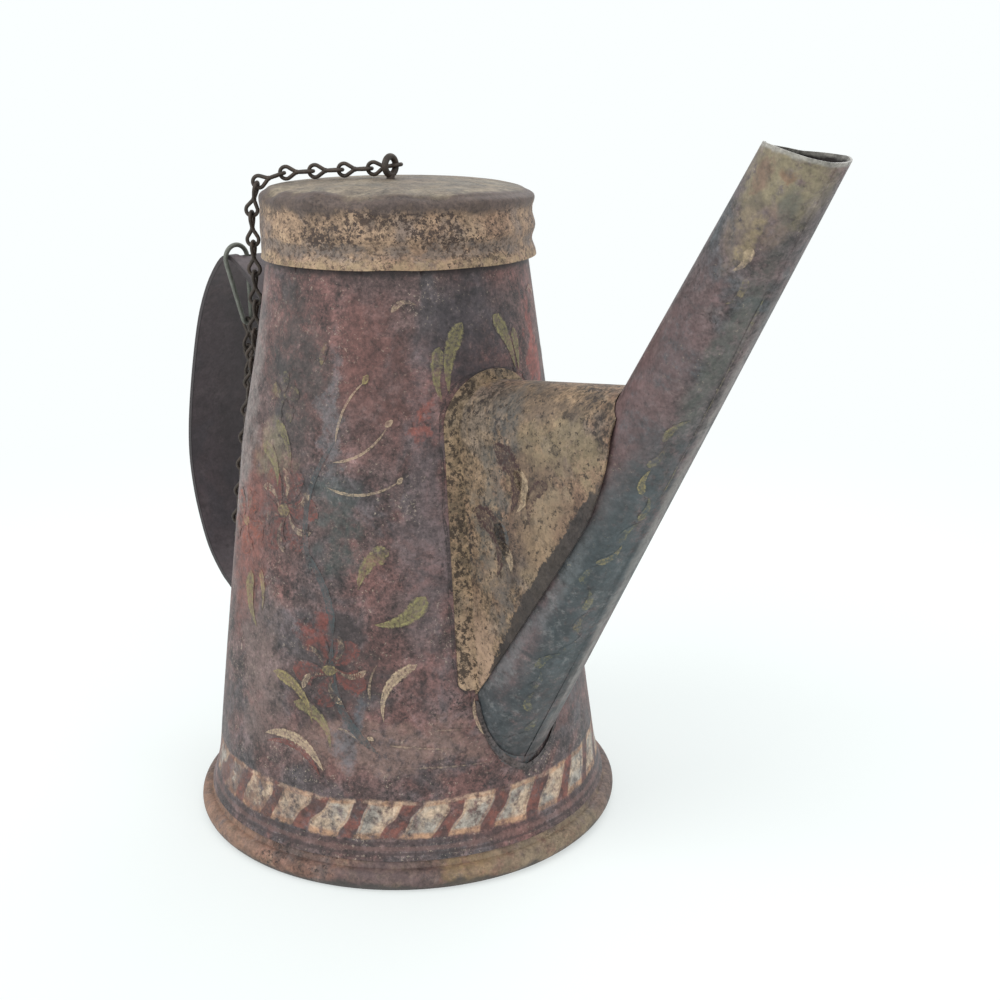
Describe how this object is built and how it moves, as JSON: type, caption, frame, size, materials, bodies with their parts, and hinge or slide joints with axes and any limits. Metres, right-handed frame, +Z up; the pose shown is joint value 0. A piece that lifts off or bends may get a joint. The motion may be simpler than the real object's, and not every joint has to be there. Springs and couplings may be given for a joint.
{
  "type": "railway signal lamp",
  "caption": "Painted tin oil lamp of the kettle kind: tapering can with slip lid on a jack chain, tall wick spout with saddle brace, strap handle.",
  "frame": {"origin": "on the upright axis of the can, level with the surface it stands on", "axes": "+Z up, +X from the can towards the mouth of the spout, handle towards -X"},
  "size_m": [0.2839, 0.1524, 0.2401],
  "materials": {
    "body_paint": "worn brush-painted tinplate, dull maroon",
    "lid_paint": "worn tan paint with dark rust speckle",
    "brace_paint": "worn buff paint with maroon strokes",
    "spout_paint": "worn dark slate and maroon paint",
    "handle_paint": "worn dark brown paint",
    "bare_tin": "dull old tinplate",
    "solder": "dull grey solder",
    "dark_wire": "dark iron wire"
  },
  "bodies": {
    "root": {"body_shell": "body_paint", "foot_ring": "body_paint", "bottom_plate": "bare_tin", "neck_collar": "bare_tin", "spout_tube": "spout_paint", "spout_solder": "solder", "spout_brace": "brace_paint", "handle_strap": "handle_paint", "chain_hook": "dark_wire", "chain_link_01": "dark_wire", "chain_link_02": "dark_wire", "chain_link_03": "dark_wire", "chain_link_04": "dark_wire", "chain_link_05": "dark_wire", "chain_link_06": "dark_wire"},
    "chain_bend": {"chain_link_07": "dark_wire", "chain_link_08": "dark_wire", "chain_link_09": "dark_wire", "chain_link_10": "dark_wire", "chain_link_11": "dark_wire"},
    "lid_chain": {"chain_link_12": "dark_wire", "chain_link_13": "dark_wire", "chain_link_14": "dark_wire", "chain_link_15": "dark_wire", "chain_link_16": "dark_wire", "chain_link_17": "dark_wire", "chain_link_18": "dark_wire", "chain_link_19": "dark_wire", "chain_link_20": "dark_wire", "chain_link_21": "dark_wire", "chain_link_22": "dark_wire", "chain_link_23": "dark_wire", "chain_link_24": "dark_wire", "chain_link_25": "dark_wire", "chain_link_26": "dark_wire", "chain_link_27": "dark_wire", "chain_link_28": "dark_wire"},
    "lid": {"lid_top": "lid_paint", "lid_skirt": "lid_paint", "lid_eye": "dark_wire"}
  },
  "joints": [
    {"name": "lid_lift", "type": "slide", "parent": "root", "child": "lid_chain", "axis": [0, 0, 1], "range_m": [0, 0.016]},
    {"name": "lid_turn", "type": "hinge", "parent": "lid_chain", "child": "lid", "pos_m": [0, 0, 0.2], "axis": [0, 0, 1], "range_deg": [-20, 20]},
    {"name": "chain_bend", "type": "hinge", "parent": "root", "child": "chain_bend", "pos_m": [-0.06845, -0.01919, 0.10902], "axis": [-0.6804, -0.7328, 0], "range_deg": [0, 28.63]}
  ],
  "couplings": [
    {"joint": "chain_bend", "follows": "lid_lift", "rad_per_m": 31.226}
  ]
}
